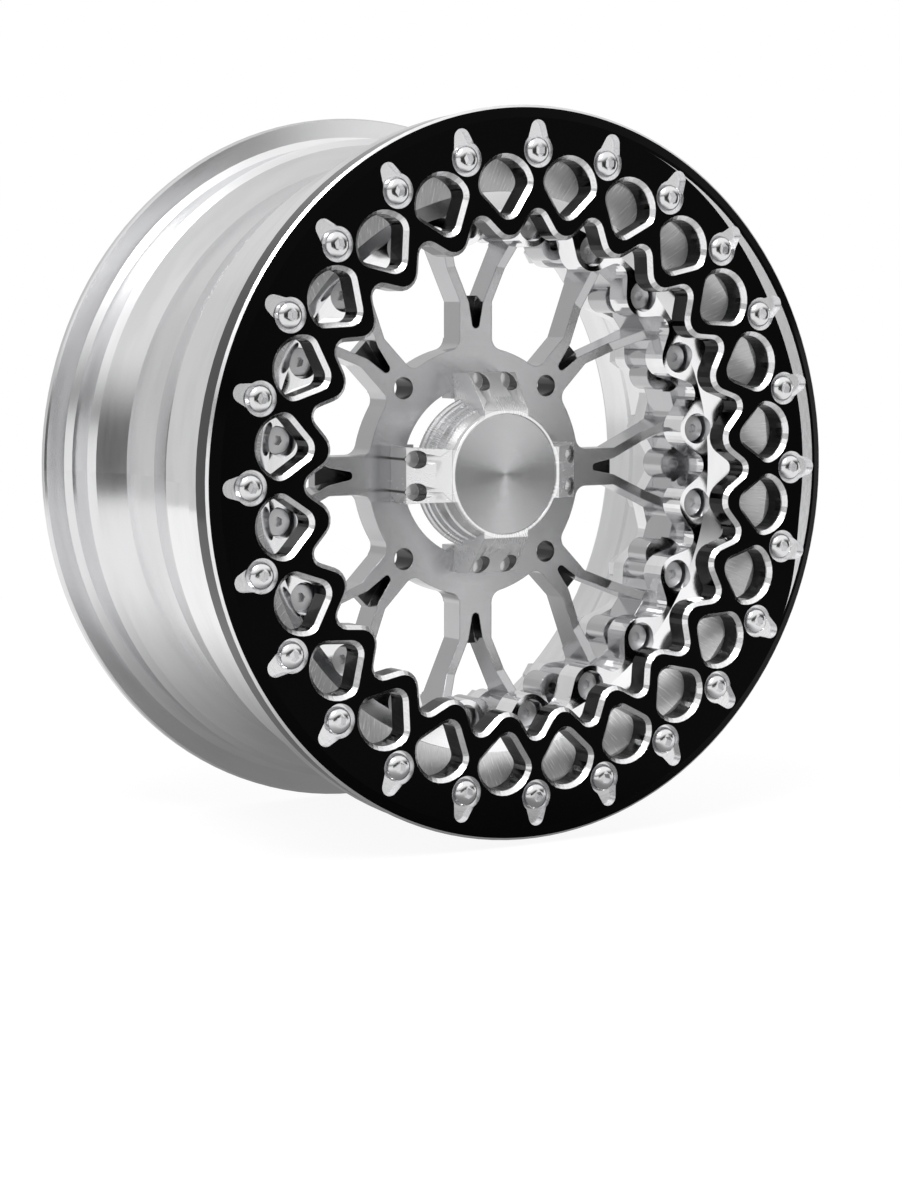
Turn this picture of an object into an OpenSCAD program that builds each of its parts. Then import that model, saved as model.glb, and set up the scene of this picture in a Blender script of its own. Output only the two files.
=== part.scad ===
// Beadlock wheel, 15 x 7 inch, four lugs. Millimetres.
// Modules work with Z along the axle, outboard up, and z = 0 on the hub's mounting face.
// The last lines turn that onto the row's frame, where the wheel's face looks along -Y.

/* [Hub and centre plate] */
// lug bolt circle, diameter
lug_circle = 137; // [110:1:160]
// number of lugs
lug_count = 4; // [4:1:4]
// lug hole, diameter
lug_hole = 12.5; // [10:0.1:15]
// centre plate, radius
plate_r = 71.5; // [66:0.5:76]
// centre plate and spokes, thickness
plate_t = 18.2; // [15:0.1:22]
// bore seen from the front, radius
bore_r = 49.2; // [44:0.1:51]
// hub pilot recess in the back, radius
pilot_r = 55; // [52:0.1:58]
// hub pilot recess, depth
pilot_depth = 8; // [5:0.1:9]
// hub pad, radius
pad_r = 77; // [75.5:0.1:80]
// relief of the spokes behind the hub pad
pad_relief = 1; // [0.5:0.1:2]
// inner end of the tabs under the cap's legs, radius
tab_r = 42; // [40:0.1:44]
// tabs, width
tab_w = 33; // [30:0.1:36]

/* [Spokes] */
// number of spokes
spoke_count = 8; // [8:1:8]
// spoke stem, width
stem_w = 21.8; // [19:0.1:24]
// where a stem forks, radius
fork_r = 97; // [93:0.5:101]
// blades, angle from the spoke's line
blade_angle = 24.6; // [22:0.1:27]
// blades, width
blade_w = 5.5; // [4.5:0.1:7]
// slot in a stem, rounded tip radius from the axle
slot_tip_at = 81.9; // [79:0.1:86]
// slot, width at its tip
slot_w = 5; // [3:0.1:6]
// slot, depth
slot_depth = 9; // [5:0.1:12]
// where the slot breaks through between the blades, radius
slot_through_r = 100.5; // [98:0.5:106]
// fillets where the stems meet the plate, radius
root_fillet = 7; // [3:0.1:9]
// fillets where the blades meet the rim, radius
rim_fillet = 4; // [2:0.1:6]

/* [Rim of the centre] */
// rim, thickness
rim_t = 25.5; // [22:0.1:29]
// rim, outer radius
rim_r = 158; // [155:0.1:160]
// rim, inner radius between the bosses
rim_in_r = 139.5; // [138:0.1:141]
// where the blades start to rise to the rim, radius
rise_from_r = 118; // [112:0.5:124]
// bosses, circle radius
boss_at = 140.6; // [139:0.1:142]
// bosses, radius
boss_r = 9; // [8:0.1:10]
// bosses, hole diameter
boss_hole = 6.8; // [5:0.1:7.5]
// spot face round each boss, radius
boss_spot_r = 10.4; // [9:0.1:11]

/* [Assembly bolts] */
// number of bolts
bolt_count = 20; // [20:1:20]
// bolt circle, radius
bolt_at = 141.75; // [141:0.05:142.5]
// bolt shank, diameter
bolt_d = 8; // [6:0.1:8.4]
// bolt head, diameter
bolt_head_d = 15.7; // [14:0.1:16.4]
// bolt head, height
bolt_head_h = 5; // [4:0.1:6]
// bolt head, how far its top lies under the flange's face
bolt_sink = 5; // [3:0.1:6]
// bolt head socket, across flats
bolt_socket = 5; // [4:0.1:6]
// gap all round a bolt's shank in its hole
bolt_gap = 0.3; // [0.1:0.05:0.6]
// gap all round a bolt's head in its counterbore
bolt_head_gap = 1.15; // [0.8:0.05:1.8]
// washer, diameter
washer_d = 16; // [15:0.1:17]
// washer, thickness
washer_t = 1.6; // [1:0.1:2]
// nut, across flats
nut_af = 13; // [12:0.1:13.6]
// nut, height
nut_h = 7; // [6:0.1:8]
// bolt end past the nut
bolt_past = 1.5; // [0:0.1:3]

/* [Front half of the barrel] */
// bolt flange, thickness
flange_t = 17; // [15:0.1:19]
// lobe round each bolt, radius
flange_lobe = 12; // [11.5:0.1:12.8]
// valley between lobes, radius
flange_valley = 8; // [7:0.1:8.8]
// valley between lobes, outermost radius from the axle
flange_valley_at = 145.2; // [143:0.1:147]
// foot of the bowl's wall on the bolt flange, radius
bowl_foot_r = 148.5; // [147.5:0.1:152]
// top of the bowl's wall at the bead flange, radius
bowl_top_r = 176; // [172:0.1:178]
// bead flange's front face above the hub face
bead_face_z = 64.6; // [60:0.1:68]
// bead flange, outer radius
bead_flange_r = 203.1; // [200:0.1:206]
// bead flange, thickness at its edge
bead_flange_t = 9.5; // [7:0.1:11]
// bead seat, radius
bead_seat_r = 191.4; // [190:0.1:192.5]
// bead seat, length
bead_seat_len = 44.7; // [40:0.1:46]
// barrel's joint above the hub face
joint_z = 2.5; // [2:0.1:4]
// barrel wall, thickness
wall_t = 6; // [5:0.1:7]
// centring lip on the bolt flange's back, width
lip_w = 4; // [3:0.1:5]
// centring lip, height
lip_h = 4.5; // [3:0.1:6]
// gap between the centre's rim and what centres it
centring_gap = 0.1; // [0.05:0.05:0.2]

/* [Rear half of the barrel] */
// inner flange, thickness under the centre's rim
rear_flange_t = 10; // [8:0.1:12]
// lobe round each bolt, radius
rear_lobe = 9; // [8.8:0.1:9.5]
// valley between lobes, outermost radius from the axle
rear_valley_at = 142; // [141:0.1:143]
// barrel's radius at the joint
joint_r = 190.8; // [190:0.1:191.2]
// foot of the first ramp, radius
ramp_r = 184.3; // [183:0.1:186]
// foot of the first ramp, depth behind the hub face
ramp_z = 24.1; // [22:0.1:27]
// drop well, radius
well_r = 180; // [178:0.1:182]
// drop well, front end behind the hub face
well_from = 27.5; // [26:0.1:31]
// drop well, rear end behind the hub face
well_to = 68; // [60:0.5:74]
// safety hump, radius
hump_r = 194.2; // [193:0.1:195.4]
// safety hump, depth behind the hub face
hump_z = 90.5; // [88:0.1:93]
// rear bead seat, radius beside the hump
rear_seat_r = 190.5; // [190:0.1:191.5]
// rear bead seat, radius beside the flange
rear_seat_end_r = 192.4; // [192:0.1:193]
// rear flange, outer radius
rear_flange_r = 207.8; // [205:0.1:210]
// rear flange, thickness at its edge
rear_edge_t = 4.9; // [4:0.1:6]
// rear face of the wheel behind the hub face
rear_face_z = 123.3; // [118:0.1:128]
// rear opening, radius
rear_open_r = 193.6; // [191:0.1:195]

/* [Clamp ring] */
// number of windows and screws
ring_count = 24; // [24:1:24]
// thickness at the outer land
ring_t = 17.4; // [15:0.1:20]
// outer radius
ring_r = 204.6; // [202:0.1:206]
// how much thinner the windowed part is at the back
ring_relief = 2.5; // [1:0.1:4]
// inner end of the outer land, radius
ring_land_r = 182; // [180:0.1:184]
// outer end of the flat face, radius
ring_flat_r = 197.6; // [197:0.1:200]
// machined bevel on the windows and the inner edge
ring_bevel = 2.35; // [1:0.05:2.8]
// draft of the side, over its full height
ring_draft = 1.2; // [0:0.1:1.5]

/* [Windows of the ring] */
// window, outermost radius from the axle
window_top_at = 179; // [177:0.1:180.5]
// window, innermost radius from the axle
window_tip_at = 142.9; // [142.4:0.1:145]
// arc across the window's top, radius
window_arc = 18.4; // [17.6:0.1:18.8]
// window's side corners, radius
window_corner = 8.7; // [7:0.1:9.6]
// window's tip, radius
window_tip = 8.2; // [7:0.1:9]
// window's sides, angle from the radial line
window_side = 40.4; // [39:0.1:41]

/* [Inner edge of the ring] */
// crest, outermost radius from the axle
edge_out_at = 148.3; // [147.4:0.1:149]
// lobe, innermost radius from the axle
edge_in_at = 134.4; // [133.4:0.1:135.4]
// crest, arc radius
edge_crest = 7.6; // [6.5:0.1:8.2]
// lobe, arc radius
edge_lobe = 8.4; // [7:0.1:9]

/* [Ring screws and inserts] */
// screw circle, radius
screw_at = 179.8; // [179:0.1:180.4]
// pocket, round end's radius
pocket_r = 9.5; // [9:0.1:9.8]
// pocket, tip of its tail from the axle
pocket_tip_at = 196.5; // [194:0.1:197.4]
// pocket, tail's radius
pocket_tail = 5; // [4:0.1:5.6]
// pocket, angle of its tail's sides from the radial line
pocket_taper = 16; // [10:0.5:20]
// pocket, depth
pocket_depth = 3; // [2:0.1:4]
// screw shank, diameter
screw_d = 8; // [6:0.1:8.4]
// screw head, diameter
screw_head_d = 15.4; // [14:0.1:16.4]
// screw head, height
screw_head_h = 5.2; // [4.6:0.1:6]
// screw head, height of its upright edge
screw_head_edge = 1.2; // [0.6:0.1:2]
// screw head socket, across flats
screw_socket = 5.4; // [4:0.1:6]
// gap all round a screw's shank in the ring
screw_gap = 0.4; // [0.2:0.05:0.8]
// insert, diameter
insert_d = 12; // [11:0.1:13]
// insert, length
insert_len = 10; // [7:0.1:12]

/* [Hub cap] */
// cap's rim, radius
cap_r = 36; // [34.5:0.1:37.5]
// cap's rim above the hub face
cap_z = 50.5; // [47:0.1:54]
// skirt, radius
skirt_r = 44.2; // [42:0.1:46]
// skirt's lower edge above the hub face
skirt_z = 23.6; // [21:0.1:26]
// bore of the cap, radius
cap_bore_r = 33; // [30:0.1:33.4]
// rim's width round the disc
cap_rim_w = 1.8; // [1.4:0.1:2.4]
// disc, thickness
disc_t = 2.2; // [1.6:0.1:3]
// disc's seat, width
disc_ledge = 4.2; // [3.4:0.1:5]
// how far the disc lies under the rim
disc_sink = 0.8; // [0.3:0.1:1.2]
// gap all round the disc
disc_gap = 0.2; // [0.1:0.05:0.4]
// seal under the disc, section diameter
cap_seal_d = 1.5; // [1.2:0.1:1.8]
// leg, width at the rim
leg_top_w = 29.5; // [28.5:0.1:31]
// leg, width at its foot
leg_foot_w = 34; // [33:0.1:36]
// leg, radius of its hollowed sides
leg_side_r = 300; // [200:1:600]
// foot's upper outer edge, radius from the axle
foot_edge_r = 56.9; // [55.5:0.1:58]
// foot's upper outer edge above the hub face
foot_edge_z = 34.9; // [33:0.1:37]
// end of the foot's ramp on the plate, radius from the axle
foot_r = 67; // [65:0.1:69]
// foot's ramp, hollow radius
foot_hollow_r = 26; // [20:0.5:60]

/* [Pockets of the cap's legs] */
// pocket, distance from the axle along the leg
leg_pocket_at = 52; // [51:0.1:53]
// pocket, distance from the leg's middle line
leg_pocket_off = 9.2; // [8.8:0.1:9.6]
// pocket, diameter
leg_pocket_d = 10.2; // [9.8:0.1:10.6]
// pocket floor above the hub face
leg_pocket_z = 32; // [29:0.1:34]
// height of the wall between the floor and the tail
leg_wall_h = 8.5; // [7:0.1:10]
// slope of the pocket's tail
leg_tail_angle = 45; // [42:0.5:50]
// pocket's tail, diameter
leg_tail_d = 9.6; // [9:0.1:10]

/* [Hub cap screws] */
// screws, distance from the axle along the leg
leg_screw_at = 48; // [47.2:0.1:48.6]
// screws, distance from the leg's middle line
leg_screw_off = 9.2; // [8.6:0.1:9.6]
// metal left between a screw's hole and the pocket's floor
leg_floor_t = 2.5; // [1.5:0.1:4]
// screw, shank diameter
leg_screw_d = 5; // [4:0.1:5.4]
// screw, head diameter
leg_head_d = 8.5; // [8:0.1:9]
// screw, head height
leg_head_h = 4.6; // [3:0.1:5]
// screw, socket across flats
leg_socket = 4; // [3:0.1:4.4]
// gap all round a screw's shank
leg_screw_gap = 0.25; // [0.1:0.05:0.4]

/* [Barrel seal] */
// seal's section, diameter
seal_d = 2.4; // [2:0.1:2.8]
// seal's groove, extra width
seal_gap = 0.4; // [0.2:0.1:0.8]

/* [Valve] */
// valve, direction round the wheel
valve_angle = 90; // [80:1:100]
// valve, depth behind the hub face
valve_z = 18.5; // [18.4:0.1:18.8]
// outer seat, radius from the axle
valve_out_r = 182.5; // [182:0.1:183.5]
// inner seat, radius from the axle
valve_in_r = 178.6; // [178.5:0.1:179]
// seats, radius
valve_seat_r = 8; // [7.8:0.1:8.1]
// valve hole, diameter
valve_hole = 11.3; // [10.6:0.1:11.6]
// stem, diameter
stem_d = 8; // [7.4:0.1:8.4]
// stem, length from the outer seat
valve_len = 34; // [30:0.5:35]
// stem head, diameter
stem_head_d = 13; // [12:0.1:13.6]
// stem head, thickness
stem_head_t = 2.5; // [2:0.1:3]
// stem's bore, diameter
stem_bore = 3.8; // [3:0.1:4.2]
// grommet, collar's thickness
grommet_t = 1.5; // [1:0.1:2]
// grommet, collar's diameter
grommet_d = 14; // [13.4:0.1:14.8]
// valve washer, thickness
valve_washer_t = 1.2; // [0.8:0.1:1.6]
// valve nut, across flats
valve_nut_af = 12; // [11:0.1:13]
// valve nut, height
valve_nut_h = 5.5; // [4:0.1:7]
// valve core, length
core_len = 12; // [9:0.5:14]
// valve cap, diameter
valve_cap_d = 10; // [9.4:0.1:10.6]
// valve cap, length
valve_cap_len = 10; // [8:0.1:12]
// valve cap, end wall
valve_cap_wall = 2; // [1:0.1:3]

/* [Hidden] */
$fn = 96;
eps = 0.5;
ring_back_z = bead_face_z;
ring_face_z = ring_back_z + ring_t;
flange_back_z = rim_t;
flange_face_z = flange_back_z + flange_t;
bolt_seat_z = flange_face_z - bolt_sink - bolt_head_h;
nut_seat_z = -rear_flange_t - washer_t;
bolt_end_z = nut_seat_z - nut_h - bolt_past;
pocket_z = ring_face_z - pocket_depth;
insert_z = bead_face_z - insert_len;
spoke_step = 360 / spoke_count;
bolt_step = 360 / bolt_count;
ring_step = 360 / ring_count;
boss_count = 2 * spoke_count;
blade_slope = tan(blade_angle);
blade_across = blade_w / cos(blade_angle);
leg_seat_z = pilot_depth + leg_head_h + 0.4;
seat_r = cap_r - cap_rim_w;
disc_z = cap_z - disc_sink - disc_t;
inner_seat_r = bead_seat_r - wall_t;
seal_at = (inner_seat_r + joint_r) / 2;

// Points of an arc, both ends counted.
function arc(c, r, a0, a1, n) = [for (i = [0:n]) c + r * [cos(a0 + (a1 - a0) * i / n), sin(a0 + (a1 - a0) * i / n)]];
function turned(pts, a) = [for (p = pts) [p[0] * cos(a) - p[1] * sin(a), p[0] * sin(a) + p[1] * cos(a)]];
// The same without its first and last points.
function inner(pts) = [for (i = [1:len(pts) - 2]) pts[i]];

// A closed wave round the axle: crests bulge outward, lobes inward, joined by their common tangents.
function wave(count, out_at, crest, in_at, lobe, first, grow, n) =
    let (step = 180 / count,
         a = [out_at - crest, 0],
         b = (in_at + lobe) * [cos(step), sin(step)],
         u = b - a,
         lean = atan2(u[1], u[0]) - acos((crest + lobe) / norm(u)),
         one = concat(arc(a, crest + grow, -lean, lean, n),
                      turned(arc([in_at + lobe, 0], lobe - grow, 180 + lean - step, 180 - lean + step, n), step)))
    [for (k = [0:count - 1]) each turned(one, first + k * 2 * step)];

// One window of the ring, on the +X axis, grown by the bevel.
function window(grow) =
    let (big = [0, window_top_at - window_arc],
         tip = [0, window_tip_at + window_tip],
         across = [cos(window_side), -sin(window_side)],
         along = [sin(window_side), cos(window_side)],
         q = tip + (window_tip - window_corner) * across - big,
         b = q * along,
         c = q * q - pow(window_arc - window_corner, 2),
         corner = big + q + (sqrt(b * b - c) - b) * along,
         lean = atan2(corner[1] - big[1], corner[0]),
         left = [-corner[0], corner[1]],
         pts = concat(arc(corner, window_corner + grow, -window_side, lean, 5),
                      inner(arc(big, window_arc + grow, lean, 180 - lean, 14)),
                      arc(left, window_corner + grow, 180 - lean, 180 + window_side, 5),
                      arc(tip, window_tip + grow, 180 + window_side, 360 - window_side, 6)))
    turned(pts, -90);

module stack(rings, zs) {
    n = len(rings[0]);
    m = len(rings);
    polyhedron(
        points = [for (k = [0:m - 1]) for (p = rings[k]) [p[0], p[1], zs[k]]],
        faces = concat([[for (i = [0:n - 1]) i]], [[for (i = [n - 1:-1:0]) (m - 1) * n + i]],
            [for (k = [0:m - 2]) for (i = [0:n - 1])
                [k * n + i, (k + 1) * n + i, (k + 1) * n + (i + 1) % n, k * n + (i + 1) % n]]));
}

module round_pattern(count, first = 0) {
    for (k = [0:count - 1]) rotate([0, 0, first + k * 360 / count]) children();
}

module at_bolts() { round_pattern(bolt_count, bolt_step / 2) translate([bolt_at, 0, 0]) children(); }
module at_screws() { round_pattern(ring_count) translate([screw_at, 0, 0]) children(); }
module at_leg_screws() {
    round_pattern(4) for (s = [-1, 1]) translate([leg_screw_at, s * leg_screw_off, 0]) children();
}
module tube(r, bore, h) { difference() { cylinder(r = r, h = h); translate([0, 0, -eps]) cylinder(r = bore, h = h + 2 * eps); } }
module hexagon(af) { polygon([for (i = [0:5]) af / sqrt(3) * [cos(60 * i), sin(60 * i)]]); }
module hex(af, h) { linear_extrude(height = h) hexagon(af); }

// Clamp ring

module pocket_outline() {
    tail = [pocket_tip_at - pocket_tail, 0];
    p = tail + pocket_tail * [sin(pocket_taper), cos(pocket_taper)];
    q = [screw_at + pocket_r * 0.6, p[1] + (p[0] - screw_at - pocket_r * 0.6) * tan(pocket_taper)];
    translate([screw_at, 0]) circle(r = pocket_r);
    translate(tail) circle(r = pocket_tail);
    polygon([q, p, [p[0], -p[1]], [q[0], -q[1]]]);
}

module beadlock_ring() {
    top = ring_face_z + eps;
    zs = [ring_back_z - eps, ring_face_z - ring_bevel, top];
    grows = [-ring_bevel, -ring_bevel, eps];
    side = ring_r - 1.4;
    color([0.05, 0.05, 0.055]) difference() {
        rotate_extrude($fn = 192) polygon([
            [edge_in_at - 8, ring_back_z + ring_relief], [edge_in_at - 8, ring_face_z], [ring_flat_r, ring_face_z],
            [side, ring_face_z - 2.9], [ring_r, ring_face_z - 4.3], [ring_r - ring_draft, ring_back_z],
            [ring_land_r, ring_back_z], [ring_land_r - ring_relief, ring_back_z + ring_relief]]);
        stack([for (g = grows)
            wave(ring_count, edge_out_at, edge_crest, edge_in_at, edge_lobe, 0, g, 6)], zs);
        round_pattern(ring_count, ring_step / 2) stack([for (g = grows) window(g)], zs);
        round_pattern(ring_count) translate([0, 0, pocket_z])
            linear_extrude(height = pocket_depth + eps) pocket_outline();
        at_screws() translate([0, 0, ring_back_z - eps]) cylinder(d = screw_d + 2 * screw_gap, h = ring_t + 2 * eps);
    }
}

module button_screw(d, head_d, head_h, edge_h, socket, len) {
    rise = head_h - edge_h;
    dome = (pow(head_d / 2, 2) + rise * rise) / (2 * rise);
    difference() {
        union() {
            translate([0, 0, -len]) cylinder(d = d, h = len + eps);
            intersection() {
                cylinder(d = head_d, h = head_h);
                translate([0, 0, head_h - dome]) sphere(r = dome);
            }
        }
        translate([0, 0, head_h * 0.35]) hex(socket, head_h);
    }
}

module ring_screws() {
    color([0.8, 0.8, 0.82]) at_screws() translate([0, 0, pocket_z])
        button_screw(screw_d, screw_head_d, screw_head_h, screw_head_edge, screw_socket,
                     pocket_z - insert_z - 1.5);
}

module ring_inserts() {
    color([0.6, 0.6, 0.62]) at_screws() translate([0, 0, insert_z]) tube(insert_d / 2, screw_d / 2, insert_len);
}

// Barrel

module front_barrel() {
    lip_in = rim_r + centring_gap;
    lip_out = lip_in + lip_w;
    seat_z = bead_face_z - bead_flange_t - 5.2;
    seat_end_z = seat_z - bead_seat_len;
    color([0.78, 0.79, 0.8]) difference() {
        rotate_extrude($fn = 192) polygon([
            [bolt_at - flange_lobe - 6, flange_back_z], [bolt_at - flange_lobe - 6, flange_face_z],
            [bowl_foot_r, flange_face_z], [bowl_top_r, bead_face_z], [bead_flange_r, bead_face_z],
            [bead_flange_r, bead_face_z - bead_flange_t], [bead_flange_r - 1.2, bead_face_z - bead_flange_t - 2.4],
            [bead_flange_r - 4.2, bead_face_z - bead_flange_t - 4.4], [bead_seat_r + 3, bead_face_z - bead_flange_t - 4.9],
            [bead_seat_r, seat_z - 2], [bead_seat_r, seat_end_z], [joint_r, joint_z], [inner_seat_r, joint_z],
            [inner_seat_r, bead_face_z - insert_len - 7], [bowl_top_r + 3, bead_face_z - insert_len - 5],
            [lip_out, flange_back_z + 5], [lip_out, flange_back_z - lip_h], [lip_in, flange_back_z - lip_h],
            [lip_in, flange_back_z]]);
        translate([0, 0, flange_back_z - eps]) linear_extrude(height = flange_t + 2 * eps)
            polygon(wave(bolt_count, flange_valley_at, flange_valley, bolt_at - flange_lobe, flange_lobe, 0, 0, 8));
        at_bolts() {
            translate([0, 0, bolt_seat_z]) cylinder(d = bolt_head_d + 2 * bolt_head_gap, h = ring_face_z);
            translate([0, 0, flange_back_z - eps]) cylinder(d = bolt_d + 2 * bolt_gap, h = flange_t);
        }
        at_screws() translate([0, 0, insert_z]) cylinder(d = insert_d, h = insert_len + eps);
    }
}

module rear_barrel() {
    in_r = well_r - wall_t;
    seat_in = rear_seat_r - wall_t;
    flat_z = -rear_face_z + rear_edge_t;
    color([0.76, 0.77, 0.78]) difference() {
        rotate_extrude($fn = 192) polygon([
            [bolt_at - rear_lobe - 6, -rear_flange_t], [bolt_at - rear_lobe - 6, 0], [rim_r + centring_gap, 0],
            [rim_r + centring_gap, joint_z], [joint_r, joint_z], [ramp_r, -ramp_z], [well_r, -well_from],
            [well_r, -well_to], [rear_seat_r, -hump_z + 4], [hump_r, -hump_z], [rear_seat_r, -hump_z - 2.6],
            [rear_seat_end_r, flat_z + 3.4], [rear_seat_end_r + 4, flat_z + 0.9], [rear_flange_r - 0.9, flat_z],
            [rear_flange_r, flat_z - 1.4], [rear_flange_r, -rear_face_z], [rear_open_r, -rear_face_z],
            [rear_open_r, -rear_face_z + 2.4], [seat_in + 2.5, flat_z + 2.2], [seat_in + 1, flat_z + 5.4],
            [seat_in, -hump_z + 2.5], [in_r, -well_to - 1], [in_r, -well_from - 1.5],
            [ramp_r - wall_t, -ramp_z - 0.5], [ramp_r - wall_t + 0.3, -rear_flange_t - 4],
            [ramp_r - wall_t - 3.5, -rear_flange_t]]);
        translate([0, 0, -rear_flange_t - eps]) linear_extrude(height = rear_flange_t + 2 * eps)
            polygon(wave(bolt_count, rear_valley_at, rear_lobe, bolt_at - rear_lobe, rear_lobe, 0, 0, 6));
        at_bolts() translate([0, 0, -rear_flange_t - eps])
            cylinder(d = bolt_d + 2 * bolt_gap, h = rear_flange_t + 2 * eps);
        translate([0, 0, joint_z - seal_d])
            tube(seal_at + (seal_d + seal_gap) / 2, seal_at - (seal_d + seal_gap) / 2, seal_d + eps);
        at_valve() {
            translate([0, 0, -20]) cylinder(d = valve_hole, h = 40);
            translate([0, 0, -12]) cylinder(r = valve_seat_r, h = 12);
            translate([0, 0, valve_out_r - valve_in_r]) cylinder(r = valve_seat_r, h = 12);
        }
    }
}

module barrel_seal() {
    color([0.08, 0.08, 0.08]) translate([0, 0, joint_z - seal_d / 2])
        rotate_extrude($fn = 192) translate([seal_at, 0]) circle(d = seal_d, $fn = 24);
}

// Centre

module spoke_plan() {
    x1 = rim_in_r + 2;
    out = function (x) stem_w / 2 + (x - fork_r) * blade_slope;
    cut = function (x) out(x) - blade_across;
    difference() {
        polygon([[plate_r - 12, -stem_w / 2], [fork_r, -stem_w / 2], [x1, -out(x1)], [x1, out(x1)],
                 [fork_r, stem_w / 2], [plate_r - 12, stem_w / 2]]);
        polygon([[slot_through_r, -cut(slot_through_r)], [x1 + 1, -cut(x1 + 1)], [x1 + 1, cut(x1 + 1)],
                 [slot_through_r, cut(slot_through_r)]]);
    }
}

// Fillet between a stem's side and the plate's edge.
module root_corner() {
    y = stem_w / 2 + root_fillet;
    x = sqrt(pow(plate_r + root_fillet, 2) - y * y);
    inside = plate_r - eps;
    difference() {
        polygon([[x, stem_w / 2 - eps], [x, y], inside / (plate_r + root_fillet) * [x, y],
                 [plate_r - 6, stem_w / 2 - eps]]);
        translate([x, y]) circle(r = root_fillet);
    }
}

// Fillet between a blade's outer side and the rim's inner edge.
module rim_corner() {
    far = rim_in_r - rim_fillet;
    n = [-sin(blade_angle), cos(blade_angle)];
    t = [cos(blade_angle), sin(blade_angle)];
    p = [fork_r, stem_w / 2] + rim_fillet * n;
    b = p * t;
    s = sqrt(b * b - p * p + far * far) - b;
    c = p + s * t;
    difference() {
        polygon([c, c - (rim_fillet + eps) * n, c - (rim_fillet + eps) * n + (rim_fillet + 4) * t,
                 (rim_in_r + eps) / far * c]);
        translate(c) circle(r = rim_fillet);
    }
}

module centre_plan() {
    circle(r = plate_r, $fn = 192);
    difference() { circle(r = rim_r + 2, $fn = 192); circle(r = rim_in_r, $fn = 192); }
    for (k = [0:spoke_count - 1]) rotate(k * spoke_step) {
        spoke_plan();
        root_corner();
        mirror([0, 1]) root_corner();
        rim_corner();
        mirror([0, 1]) rim_corner();
    }
    for (k = [0:boss_count - 1]) rotate(k * 360 / boss_count) translate([boss_at, 0]) circle(r = boss_r);
    for (k = [0:bolt_count - 1]) rotate((k + 0.5) * bolt_step) translate([bolt_at, 0]) circle(r = 7);
}

module slot() {
    c = [slot_tip_at + slot_w / 2, 0];
    r = slot_w / 2;
    w = stem_w / 2 - blade_across;
    over = slot_through_r + eps;
    translate(c) circle(r = r, $fn = 32);
    v = w + (slot_through_r - fork_r) * blade_slope;
    polygon([c + [0, -r], [fork_r, -w], [slot_through_r, -v], [over, eps - v], [over, v - eps],
             [slot_through_r, v], [fork_r, w], c + [0, r]]);
}

module tab_outline() { translate([tab_r, -tab_w / 2]) square([bore_r - tab_r + 6, tab_w]); }

module wheel_centre() {
    rise = (rim_t - plate_t) / (rim_in_r - 1.5 - rise_from_r);
    color([0.62, 0.63, 0.64]) difference() {
        intersection() {
            rotate_extrude($fn = 192) polygon([[0, 0], [rim_r, 0], [rim_r, rim_t], [rim_in_r - 1.5, rim_t],
                                               [rise_from_r, plate_t], [0, plate_t]]);
            translate([0, 0, -eps]) linear_extrude(height = rim_t + 2 * eps) centre_plan();
        }
        translate([0, 0, -eps]) linear_extrude(height = plate_t + 2 * eps) difference() {
            circle(r = bore_r);
            for (k = [0:3]) rotate(90 * k) tab_outline();
        }
        translate([0, 0, -eps]) cylinder(r = pilot_r, h = pilot_depth + eps);
        translate([0, 0, -eps]) tube(bolt_at - rear_lobe - 2, pad_r, pad_relief + eps);
        round_pattern(spoke_count) translate([0, 0, plate_t - slot_depth])
            linear_extrude(height = slot_depth + eps) slot();
        round_pattern(boss_count) translate([boss_at, 0, plate_t]) cylinder(r = boss_spot_r, h = rim_t);
        for (k = [0:boss_count - 1]) if (k % 4 != 2) rotate([0, 0, k * 360 / boss_count])
            translate([boss_at, 0, -eps]) cylinder(d = boss_hole, h = rim_t);
        at_bolts() translate([0, 0, -eps]) cylinder(d = bolt_d + 2 * bolt_gap, h = rim_t + 2 * eps);
        round_pattern(lug_count, 45) translate([lug_circle / 2, 0, -eps])
            cylinder(d = lug_hole, h = plate_t + 2 * eps);
        at_leg_screws() {
            translate([0, 0, pilot_depth - eps]) cylinder(d = leg_screw_d + 2 * leg_screw_gap, h = plate_t);
            translate([0, 0, pilot_depth - eps]) cylinder(d = leg_head_d + 2 * leg_screw_gap, h = leg_seat_z - pilot_depth + eps);
        }
    }
}

// Assembly bolts

module assembly_bolts() {
    color([0.55, 0.56, 0.58]) at_bolts() difference() {
        union() {
            translate([0, 0, bolt_end_z]) cylinder(d = bolt_d, h = bolt_seat_z - bolt_end_z + eps);
            translate([0, 0, bolt_seat_z]) cylinder(d = bolt_head_d, h = bolt_head_h - 0.8);
            translate([0, 0, bolt_seat_z + bolt_head_h - 0.8])
                cylinder(d1 = bolt_head_d, d2 = bolt_head_d - 1.6, h = 0.8);
        }
        translate([0, 0, bolt_seat_z + bolt_head_h * 0.35]) hex(bolt_socket, bolt_head_h);
    }
}

module assembly_washers() {
    color([0.6, 0.61, 0.63]) at_bolts() translate([0, 0, nut_seat_z])
        tube(washer_d / 2, bolt_d / 2 + bolt_gap / 2, washer_t);
}

module assembly_nuts() {
    color([0.55, 0.56, 0.58]) at_bolts() translate([0, 0, nut_seat_z - nut_h]) difference() {
        hex(nut_af, nut_h);
        translate([0, 0, -eps]) cylinder(d = bolt_d, h = nut_h + 2 * eps);
    }
}

// Hub cap

function leg_side() =
    let (p = [cap_r - 14, leg_top_w / 2], q = [foot_r, leg_foot_w / 2], m = (p + q) / 2, d = q - p,
         n = [-d[1], d[0]] / norm(d), c = m + n * sqrt(pow(leg_side_r, 2) - d * d / 4),
         a0 = atan2(p[1] - c[1], p[0] - c[0]), a1 = atan2(q[1] - c[1], q[0] - c[0]))
    arc(c, leg_side_r, a0, a1, 6);

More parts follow.
